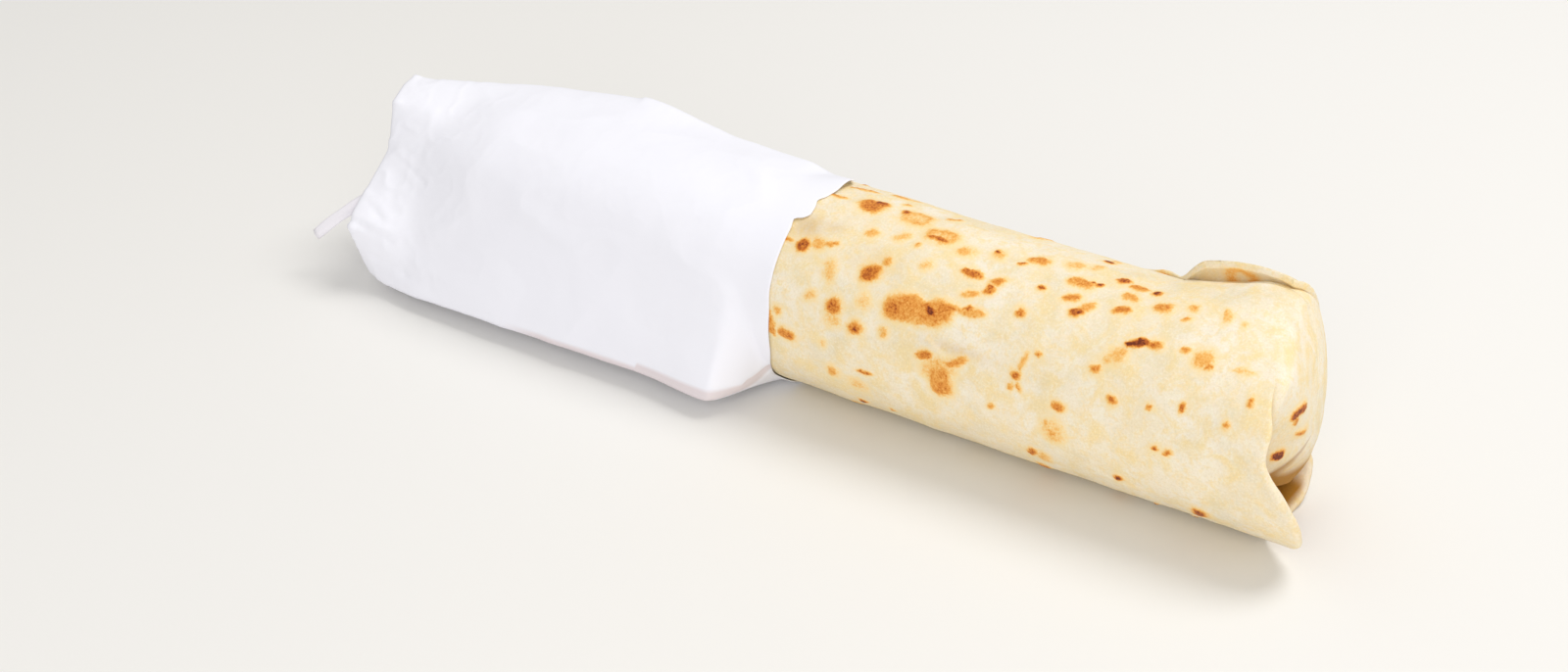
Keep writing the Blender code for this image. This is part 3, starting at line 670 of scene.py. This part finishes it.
def make_bread():
    grid, start = roll_grid()
    rows, columns = grid.shape[:2]
    bend_row = start + sum(PROFILE_COUNTS) + 1
    soften(grid, start - 6, rows - 1, 3, 0.5)
    soften(grid, bend_row + BEND_STEPS - 3, rows - 1, 40, 0.5)
    normals = grid_normals(grid, True)
    flat = grid.reshape(-1, 3)
    seeds = (fractal(flat, 0.0040, 3, 21.0), fractal(flat, 0.0040, 3, 37.0),
             0.45 * fractal(flat, 0.0019, 2, 51.0))
    toast = toast_body(flat, seeds)
    face = np.zeros((rows, columns), bool)
    face[bend_row - PROFILE_COUNTS[-1]:] = True
    face = face.ravel()
    toast[face] = toast_face(flat[face], [seed[face] for seed in seeds])
    height = bread_relief(flat, toast)
    calm = np.ones((rows, columns))
    calm[:, OUTSIDE:] = 0.2
    relief = (height * calm.ravel())[:, None] * normals.reshape(-1, 3)
    moved = flat + relief
    moved[:, 2] = np.maximum(moved[:, 2], 0.0)
    middle = moved.reshape(rows, columns, 3)[-1].mean(0)
    first = moved.reshape(rows, columns, 3)[0].mean(0)
    faces = grid_faces(rows, columns, True)
    tip, root = rows * columns, rows * columns + 1
    last = (rows - 1) * columns
    faces += [(last + (k + 1) % columns, last + k, tip) for k in range(columns)]
    faces += [(k, (k + 1) % columns, root) for k in range(columns)]
    bread = make_object("bread_roll", np.vstack((moved, middle, first)), faces)
    # Painted shade: the patches on the bare roll, then the pocket and flap at the open end.
    painted_shade = painted_shade_patches(flat, PAINTED_SHADE_PATCHES).reshape(rows, columns)
    offs, _ = roll_columns()
    angle = (seam_angle(END_BODY) - offs) % 360.0
    for i in range(start, rows):
        radius = np.hypot(grid[i, :, 1], grid[i, :, 2] - AXIS_HEIGHT)
        painted_shade[i] = np.maximum(painted_shade[i], painted_pocket_shade(angle, i - start, grid[i, :, 0], radius))
    store(bread, "toast", np.concatenate((toast, (0.0, 0.0))))
    store(bread, "painted_shade", np.concatenate((painted_shade.ravel(), (0.0, 0.0))))
    return bread, grid, normals, start


LIP_CLOSE = 3.4             # how soon the lifted corner comes down behind its edge
LIP_BLISTER = (0.0945, 4.0, 2.4)    # on its inner face: x, half length and distance from the edge in mm


def make_lip(grid, start):
    """The outer turn's corner, lifted off the roll: a sheet set off the roll's own surface."""
    offs, _ = roll_columns()
    normals = grid_normals(grid, True)
    first = int(np.argmax(grid[:start, 0, 0] > LIP_START))
    bend_row = start + sum(PROFILE_COUNTS)
    last = bend_row + BEND_STEPS - 1
    own = list(range(first, start, 1)) + list(range(start, bend_row, 2)) + list(range(bend_row, last + 1))
    spread = np.linspace(0.0, 1.0, 56) ** 1.15
    outer, inner, toast, painted_shade = [], [], [], []
    for i in own:
        over = max(0.0, (i - bend_row) / (last - bend_row))
        edge = 30.0 * over ** 1.3
        at = edge + (LIP_ROOT - edge) * spread
        point = np.stack([np.interp(at, offs[:OUTSIDE], grid[i, :OUTSIDE, k]) for k in range(3)], -1)
        normal = np.stack([np.interp(at, offs[:OUTSIDE], normals[i, :OUTSIDE, k]) for k in range(3)], -1)
        normal /= np.linalg.norm(normal, axis=1, keepdims=True)
        x = point[0, 0]
        own_radius = math.hypot(point[0, 1], point[0, 2] - AXIS_HEIGHT)
        rise = float(ROLL_RADIUS + curve(LIP_RISE, x) - own_radius)
        rise = max(rise, float(2.3 * MM * smooth_step(0.090, 0.104, x)), -0.4 * MM)
        fade = float(smooth_step(0.15, 1.0, over))
        rise = rise * (1.0 - fade) - 0.0003 * fade
        height = -0.0004 + (rise + 0.0004) * (1.0 - spread) ** LIP_CLOSE
        thick = SHEET * (0.85 - 0.45 * fade) * (1.0 + 2.6 * smooth_step(0.0, 0.26, spread))
        outer.append(point + normal * height[:, None])
        inner.append(point + normal * (height - thick)[:, None])
        behind = np.radians(at - edge) * ROLL_RADIUS / MM
        along = (x - LIP_BLISTER[0]) / MM / LIP_BLISTER[1]
        ring = np.hypot(along, (behind - LIP_BLISTER[2]) / 2.6)
        toast.append(0.46 * np.exp(-((ring - 0.70) / 0.45) ** 2))
        # Painted shade on the lifted corner's inner face, darker deeper into the crevice behind its edge.
        painted_shade.append(0.12 * smooth_step(1.0, 6.0, behind))
    outer, inner = np.array(outer), np.array(inner)
    rows, columns = outer.shape[:2]
    edge_out = outer[:, :1] + 0.25 * (outer[:, :1] - outer[:, 1:2]) + 0.30 * (inner[:, :1] - outer[:, :1])
    edge_in = outer[:, :1] + 0.25 * (outer[:, :1] - outer[:, 1:2]) + 0.70 * (inner[:, :1] - outer[:, :1])
    sheet = np.concatenate((outer[:, ::-1], edge_out, edge_in, inner), 1)
    plain = np.zeros((rows, columns + 2))
    return (sheet, np.concatenate((plain, np.array(toast)), 1).ravel(),
            np.concatenate((plain, np.array(painted_shade)), 1).ravel())


bread_looks = bread_material()
bread, bread_grid, bread_normals, end_row = make_bread()
bread.data.materials.append(bread_looks)

sheet, sheet_toast, sheet_painted_shade = make_lip(bread_grid, end_row)
sheet_rows, sheet_columns = sheet.shape[:2]
flat_sheet = sheet.reshape(-1, 3)
sheet_faces = grid_faces(sheet_rows, sheet_columns, True)
lip = make_object("bread_corner", flat_sheet, sheet_faces
                  + [tuple(range(sheet_columns))[::-1]]
                  + [tuple((sheet_rows - 1) * sheet_columns + k for k in range(sheet_columns))])
lip.data.materials.append(bread_looks)
store(lip, "toast", sheet_toast)
store(lip, "painted_shade", sheet_painted_shade)

for piece in (bread, lip):
    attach(piece, "root")
    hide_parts("flatbread")

# ---- paper -----------------------------------------------------------------------
PAPER = 0.00022
CLOSER = 0.0007             # the paper lies this much closer to the bread than the solid does
HUG = 0.00055               # and this far off the bread near its mouth
CURL = 0.0013               # its corner at the mouth's top curls up this much
CURL_ANGLE = 79.0
CURL_SPREAD = 11.0
SIDE_TAUT = 0.35            # how far the paper is drawn straight between shoulder and hip, 0 to 1
MOUTH = ((0, -0.0175), (55, -0.0165), (74, -0.0105), (88, -0.0102), (97, -0.0111), (102, -0.0124),
         (107, -0.0116), (112.5, -0.0113), (116, -0.0124), (118.5, -0.0147), (125, -0.0141), (149, -0.0140),
         (159, -0.0139), (173, -0.0132), (187, -0.0134), (196, -0.0137), (214, -0.0160), (225, -0.0168),
         (236, -0.0156), (250, -0.0152), (310, -0.0180))
# x, tube radius, then (y, z) of the lines that the paper is drawn out to: fin, ridge,
# shoulder and hip.
SLEEVE = (
    (-0.0148, 0.0282, (-0.0180, 0.0140), (0.0080, 0.0500), (-0.0100, 0.0450), (-0.0250, 0.0195)),
    (-0.0175, 0.0283, (-0.0236, 0.0090), (0.0090, 0.0508), (-0.0100, 0.0450), (-0.0250, 0.0195)),
    (-0.0205, 0.0285, (-0.0310, 0.0065), (0.0100, 0.0520), (-0.0100, 0.0450), (-0.0250, 0.0195)),
    (-0.0262, 0.0286, (-0.0386, 0.0052), (0.0110, 0.0530), (-0.0100, 0.0450), (-0.0250, 0.0195)),
    (-0.0500, 0.0286, (-0.0366, 0.0050), (0.0120, 0.0533), (-0.0100, 0.0450), (-0.0250, 0.0195)),
    (-0.0620, 0.0286, (-0.0370, 0.0050), (0.0130, 0.0544), (-0.0100, 0.0450), (-0.0250, 0.0195)),
    (-0.0800, 0.0286, (-0.0374, 0.0050), (0.0140, 0.0567), (-0.0100, 0.0450), (-0.0250, 0.0195)),
    (-0.1100, 0.0280, (-0.0374, 0.0046), (0.0100, 0.0548), (-0.0100, 0.0455), (-0.0250, 0.0195)),
    (-0.1270, 0.0262, (-0.0372, 0.0042), (0.0050, 0.0540), (-0.0110, 0.0470), (-0.0270, 0.0195)),
    (-0.1400, 0.0237, (-0.0352, 0.0036), (0.0005, 0.0532), (-0.0125, 0.0486), (-0.0330, 0.0195)),
    (-0.1500, 0.0208, (-0.0322, 0.0044), (-0.0020, 0.0526), (-0.0130, 0.0492), (-0.0362, 0.0195)),
)
SLEEVE_END = ((20, -0.1495), (50, -0.1520), (78, -0.1532), (101, -0.1530), (116, -0.1515), (140, -0.1500), (188, -0.1516), (204, -0.1500), (216, -0.1476),
              (262, -0.1450), (320, -0.1460))
PLEATS = 9
OVER_COLUMNS = 130
UNDER_COLUMNS = 110
PAPER_RINGS = 210
END_RINGS = 26


def sleeve_column(pick):
    return [(row[0], pick(row)) for row in reversed(SLEEVE)]


SLEEVE_TUBE = sleeve_column(lambda row: row[1])
SLEEVE_LINES = [(sleeve_column(lambda row, k=k: row[k][0]), sleeve_column(lambda row, k=k: row[k][1]))
                for k in range(2, 6)]


def sleeve_lines(x):
    """(reach, degrees) of the fin, the ridge, the shoulder and the hip about the axis."""
    lines = []
    for across, up in SLEEVE_LINES:
        y, z = curve(across, x), curve(up, x) - axis_height(x)
        lines.append((np.hypot(y, z), np.degrees(np.arctan2(z, y)) % 360.0))
    return lines


def chord_radius(first, last, angle):
    """Radius, between two (reach, degrees) lines, of a sheet drawn straight from one to the other."""
    (reach, begin), (far_reach, end) = first, last
    between = (angle > begin) & (angle < end)
    over = np.radians(np.where(between, angle - begin, 0.5 * (end - begin)))
    short = np.radians(end - begin) - over
    straight = reach * far_reach * np.sin(over + short) / (reach * np.sin(over) + far_reach * np.sin(short))
    return np.where(between, straight, 0.0)


def sleeve_radius(x, angle):
    """Paper drawn taut over the tube and from line to line, clear of the bread."""
    bread = roll_radius(x, (seam_angle(x) - angle) % 360.0)
    tube = curve(SLEEVE_TUBE, x) - CLOSER
    hug = smooth_step(-0.036, -0.019, x)
    tube = tube + hug * (np.minimum(bread + HUG, tube) - tube)
    out = tube.copy()
    lines = sleeve_lines(x)
    for reach, at in lines:
        contact = np.arccos(np.clip(tube / np.maximum(reach, tube), -1.0, 1.0))
        away = np.maximum(0.0, contact - np.radians(degrees_apart(angle, at)))
        out = np.maximum(out, tube / np.cos(away))
    fin, ridge, shoulder, hip = lines
    for first, last, taut in ((ridge, shoulder, 1.0), (shoulder, hip, SIDE_TAUT), (hip, fin, 1.0)):
        out = out + taut * np.maximum(0.0, chord_radius(first, last, angle) - out)
    corner = smooth_step(-0.0230, -0.0105, x) * np.exp(-(degrees_apart(angle, CURL_ANGLE) / CURL_SPREAD) ** 2)
    return np.maximum(out, bread + HUG) + CURL * corner


def sleeve_angles():
    """Column angles at the gathered end: ridge, round the front to the fin, and on under."""
    x = np.array(SLEEVE[-1][0])
    (_, fin), (_, ridge), _, _ = sleeve_lines(x)
    over = np.linspace(ridge, fin, OVER_COLUMNS, endpoint=False)
    under = np.linspace(fin, ridge + 360.0, UNDER_COLUMNS, endpoint=False)
    return np.concatenate((over, under))


def sleeve_grid():
    """The paper's outer surface: rings from the gathered end's middle to the mouth."""
    first = np.array(SLEEVE[-1][0])
    home = sleeve_angles()
    edge = curve_round(SLEEVE_END, home)
    rings = []
    for step in range(1, END_RINGS):
        share = step / END_RINGS
        dish = float(curve(((0.0, 1.0), (0.25, 1.0), (0.55, 0.75), (0.82, 0.25), (1.0, 0.0)), share))
        pleat = 0.0016 * np.sin(np.radians(PLEATS * home)) * math.sin(math.pi * share)
        x = edge - 0.0012 * (1.0 - dish) * math.sin(math.pi * share) + 0.0050 * dish + pleat
        y_z = polar_point(edge, sleeve_radius(edge, home) * share, home)
        rings.append(np.stack((x, y_z[:, 1], y_z[:, 2]), -1))
    (_, fin0), (_, ridge0), _, _ = sleeve_lines(first)
    for step in range(PAPER_RINGS + 1):
        share = step / PAPER_RINGS
        middle_x = first + (SLEEVE[0][0] - first) * share
        (_, fin), (_, ridge), _, _ = sleeve_lines(middle_x)
        over = np.linspace(ridge, fin, OVER_COLUMNS, endpoint=False)
        under = np.linspace(fin, ridge + 360.0, UNDER_COLUMNS, endpoint=False)
        angle = np.concatenate((over, under))
        end = curve_round(SLEEVE_END, angle)
        x = end + (curve_round(MOUTH, angle) - end) * share
        ring = polar_point(x, sleeve_radius(x, angle), angle)
        ring[:, 2] = np.maximum(ring[:, 2], 0.0)
        rings.append(ring)
    return np.array(rings)


def crumple(points, size, seed):
    """Sharp-edged creases: ridges where smooth noise crosses zero."""
    return 1.0 - np.minimum(1.0, 3.2 * np.abs(fractal(points, size, 2, seed)))


# Folds pressed into the paper near its gathered end: from one point to another in millimetres
# along, across and up from the roll's own axes, and depth.
FOLDS = (
    ((-151.5, -34.6, 21.0), (-146.0, -34.5, 20.0), 0.32), ((-146.0, -34.5, 20.0), (-138.0, -33.2, 16.8), 0.20),
    ((-150.0, -30.5, 27.0), (-142.0, -31.5, 22.5), 0.22), ((-146.0, -34.0, 12.0), (-126.0, -35.0, 8.0), 0.16),
    ((-149.0, -20.0, 39.0), (-132.0, -24.0, 33.0), 0.16),
)


def fold_depth(points):
    """How deep the pressed folds are at each point: a crease with a low ridge on each side."""
    depth = np.zeros(len(points))
    for begin, end, deep in FOLDS:
        run = np.subtract(end, begin)
        share = np.clip((points / MM - begin) @ run / (run @ run), 0.0, 1.0)
        away = np.linalg.norm(points / MM - begin - share[:, None] * run, axis=1)
        depth += deep * MM * (1.3 * np.exp(-(away / 0.8) ** 2) - 0.6 * np.exp(-((away - 2.0) / 1.2) ** 2))
    return depth


def make_sleeve():
    grid = sleeve_grid()[:, ::-1].copy()
    rows, columns = grid.shape[:2]
    fin = columns - 1 - OVER_COLUMNS
    soften(grid, 1, rows - 1, 2, 0.5)
    eased = soften(grid.copy(), END_RINGS + 3, END_RINGS + 105, 80, 0.5)
    place = np.arange(columns)
    from_ridge = np.minimum(place, columns - place)
    ease = smooth_step(3.0, 14.0, np.abs(place - fin)) * (0.5 + 0.5 * smooth_step(0.0, 10.0, from_ridge))
    ease = ease[None, :, None]
    grid += (eased - grid) * ease
    normals = grid_normals(grid, True)
    flat = grid.reshape(-1, 3)
    x = flat[:, 0]
    end_near = 1.0 - smooth_step(-0.150, -0.100, x)
    mouth_near = smooth_step(-0.030, -0.019, x)
    soft = fractal(flat * (0.5, 1.0, 1.0), 0.016, 2, 5.0)
    crease = crumple(flat * (0.6, 1.0, 1.0), 0.022, 11.0)
    fine = crumple(flat, 0.0080, 17.0)
    height = (0.00040 * soft + 0.00030 * crease + (0.00005 + 0.00016 * end_near) * fine) * (1.0 - mouth_near)
    column = np.tile(np.arange(columns), rows)
    row = np.repeat(np.arange(rows), columns)
    inner_ring = row < END_RINGS // 3
    height[inner_ring] *= 0.3
    from_fin = np.linalg.norm(grid - grid[:, fin:fin + 1], axis=2).ravel()
    upper = (column >= fin) & (row > END_RINGS)
    wander = 0.0022 + 0.0009 * fractal(np.stack((x, 0 * x, 0 * x), -1), 0.012, 2, 3.0)
    margin = upper & (from_fin < wander)
    thin = np.where(margin, smooth_step(-0.098, -0.080, x), 0.0)
    height -= 0.0003 * thin + fold_depth(flat)
    moved = flat + height[:, None] * normals.reshape(-1, 3)
    moved[:, 2] = np.maximum(moved[:, 2], 0.00002)
    middle = moved.reshape(rows, columns, 3)[0].mean(0)
    faces = grid_faces(rows, columns, True)
    tip = rows * columns
    faces += [(k, (k + 1) % columns, tip) for k in range(columns)]
    sleeve = make_object("paper_wrap", np.vstack((moved, middle)), faces)
    store(sleeve, "thin", np.concatenate((thin, (0.0,))))
    shell = sleeve.modifiers.new("Thickness", "SOLIDIFY")
    shell.thickness = PAPER
    shell.offset = -1.0
    return sleeve


TAB_ROOT = Vector((-0.1495, -0.0250, 0.0248))
TAB_TIP = Vector((-0.1640, -0.0366, 0.0136))


def make_tab():
    """A narrow strip of paper, folded once along its length, that stands out of the end."""
    across = (TAB_TIP - TAB_ROOT).cross(Vector((0.0, 1.0, 0.0))).normalized()
    out = (TAB_TIP - TAB_ROOT).cross(across).normalized()
    steps, sides = 24, 8
    rows = []
    for step in range(steps + 1):
        share = -0.15 + 1.15 * step / steps
        middle = TAB_ROOT.lerp(TAB_TIP, share)
        middle.z += 0.0012 * math.sin(math.pi * max(0.0, share))
        half = 0.0021 * (1.0 - 0.35 * share) + 0.00015 * math.sin(9.0 * share)
        row = []
        for side in range(sides + 1):
            at = -1.0 + 2.0 * side / sides
            fold = 0.0006 * (1.0 - abs(at)) + 0.00015 * math.sin(7.0 * share + 2.0 * at)
            row.append((middle + across * half * at + out * fold)[:])
        rows.append(row)
    grid = np.array(rows)
    tab = make_object("paper_tab", grid, grid_faces(steps + 1, sides + 1, False))
    store(tab, "thin", np.full(grid.size // 3, 0.35))
    shell = tab.modifiers.new("Thickness", "SOLIDIFY")
    shell.thickness = PAPER
    shell.offset = 0.0
    return tab


paper_looks = paper_material()
for piece in (make_sleeve(), make_tab()):
    piece.data.materials.append(paper_looks)
    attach(piece, "root")
    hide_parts("paper_sleeve")

# ---- stage -----------------------------------------------------------------------
CAMERA_AT = (0.3091, -0.4356, 0.3229)
CAMERA_HEADING = (-0.5873, 0.8094)
CAMERA_DOWN = 30.27         # degrees
CAMERA_ROLL = -1.645        # degrees
LENS = 54.35                # millimetres, on a 36 mm wide sensor


def make_camera():
    down = math.radians(CAMERA_DOWN)
    look = Vector((CAMERA_HEADING[0] * math.cos(down), CAMERA_HEADING[1] * math.cos(down), -math.sin(down)))
    data = bpy.data.cameras.new("camera")
    data.lens = LENS
    data.sensor_width = 36.0
    data.sensor_fit = "HORIZONTAL"
    camera = bpy.data.objects.new("camera", data)
    bpy.context.scene.collection.objects.link(camera)
    camera.location = CAMERA_AT
    camera.rotation_mode = "QUATERNION"
    roll = Quaternion((0.0, 0.0, 1.0), math.radians(CAMERA_ROLL))
    camera.rotation_quaternion = look.to_track_quat("-Z", "Y") @ roll
    bpy.context.scene.camera = camera


def make_floor():
    bpy.ops.mesh.primitive_plane_add(size=12.0, location=(0.0, 0.0, 0.0))
    floor = bpy.context.object
    floor.name = "floor"
    tree = Tree("floor_looks")
    tree.shader.inputs["Base Color"].default_value = (0.86, 0.85, 0.83, 1.0)
    tree.shader.inputs["Roughness"].default_value = 0.9
    floor.data.materials.append(tree.material)


def area_light(name, at, size, power, colour):
    data = bpy.data.lights.new(name, "AREA")
    data.shape = "DISK"
    data.size = size
    data.energy = power
    data.color = colour
    light = bpy.data.objects.new(name, data)
    bpy.context.scene.collection.objects.link(light)
    light.location = at
    light.rotation_euler = (-Vector(at)).to_track_quat("-Z", "Y").to_euler()


make_camera()
make_floor()
area_light("key", (0.40, 0.40, 1.15), 0.7, 7.3, (1.0, 0.985, 0.96))
area_light("fill", (0.7, -1.1, 0.6), 1.2, 7.0, (1.0, 0.99, 0.98))
world = bpy.data.worlds.new("studio")
world.use_nodes = True
world.node_tree.nodes["Background"].inputs["Color"].default_value = (1.0, 0.99, 0.97, 1.0)
world.node_tree.nodes["Background"].inputs["Strength"].default_value = 0.57
bpy.context.scene.world = world
bpy.context.scene.view_settings.view_transform = "Standard"
